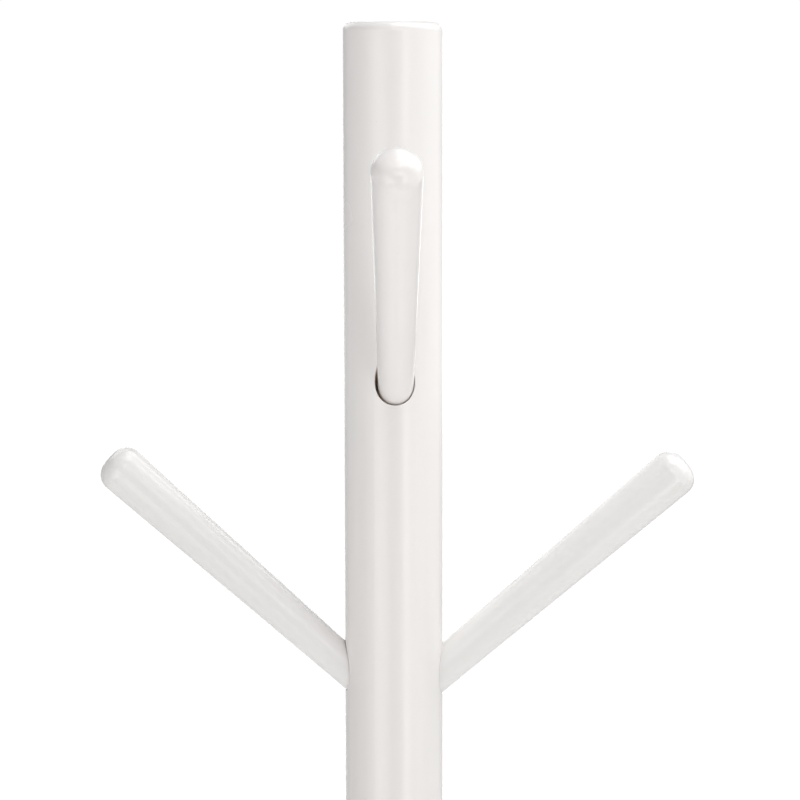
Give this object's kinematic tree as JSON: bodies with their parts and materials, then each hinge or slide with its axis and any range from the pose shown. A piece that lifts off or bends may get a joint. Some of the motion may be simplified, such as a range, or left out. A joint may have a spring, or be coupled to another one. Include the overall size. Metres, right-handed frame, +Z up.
{
  "type": "standing coat rack",
  "caption": "Free-standing coat rack: a round lacquered wooden post on a weighted disc base, with tapered pegs rising outwards from its top in opposite pairs at two heights.",
  "frame": {"origin": "centre of the felt's underside, on the floor, on the post's axis", "axes": "+Z up along the post; -Y is the front, where the upper front peg points; +X is the lower right-hand peg seen from the front"},
  "size_m": [0.3799, 0.38, 1.75],
  "materials": {
    "white_lacquered_wood": "satin white lacquer on solid wood",
    "white_lacquered_board": "satin white lacquer on fibreboard",
    "weight_steel": "black painted steel plate",
    "grey_felt": "needled felt",
    "plain_beech": "bare beech",
    "zinc_steel": "bright zinc plate"
  },
  "bodies": {
    "root": {"post_top_section": "white_lacquered_wood", "post_middle_section": "white_lacquered_wood", "post_bottom_section": "white_lacquered_wood", "peg_front": "white_lacquered_wood", "peg_back": "white_lacquered_wood", "peg_left": "white_lacquered_wood", "peg_right": "white_lacquered_wood", "base_disc": "white_lacquered_board", "base_weight": "weight_steel", "base_felt": "grey_felt", "base_dowels": "plain_beech", "post_studs": "zinc_steel", "post_inserts": "zinc_steel", "peg_hanger_bolts": "zinc_steel", "peg_inserts": "zinc_steel", "weight_screws": "zinc_steel", "base_bolt": "zinc_steel", "flat_washer": "zinc_steel", "spring_washer": "zinc_steel", "base_insert": "zinc_steel"}
  },
  "joints": []
}
